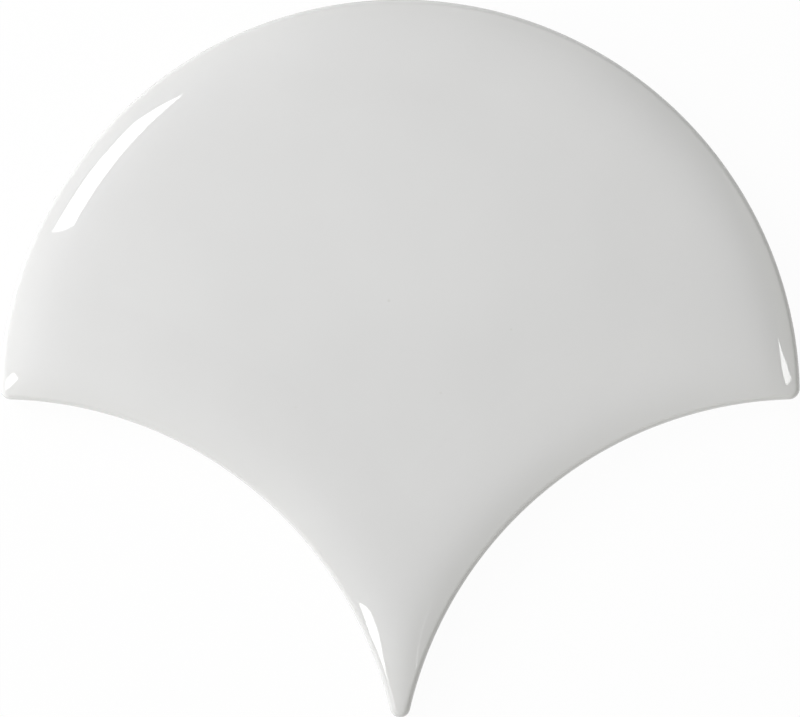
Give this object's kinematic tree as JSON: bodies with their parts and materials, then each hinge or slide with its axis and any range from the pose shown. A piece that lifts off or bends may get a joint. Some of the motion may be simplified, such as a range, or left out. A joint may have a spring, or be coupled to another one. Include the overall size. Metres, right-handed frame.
{
  "type": "ceramic fan tile",
  "caption": "Gloss white fan-shaped ceramic wall tile with a half-round crown, two hollowed flanks that neighbouring crowns nest into, a narrow tip and a keyed back.",
  "frame": {"origin": "centre of the crown's arc, on the back plane that the tile lies on", "axes": "+Z out of the glazed face, +Y from the tip towards the top of the crown, +X across the tile's width to the right as the glazed face is looked at"},
  "size_m": [0.12, 0.1076, 0.0085],
  "materials": {
    "glazed_ceramic": "gloss"
  },
  "bodies": {
    "root": {"fan_tile": "glazed_ceramic"}
  },
  "joints": []
}
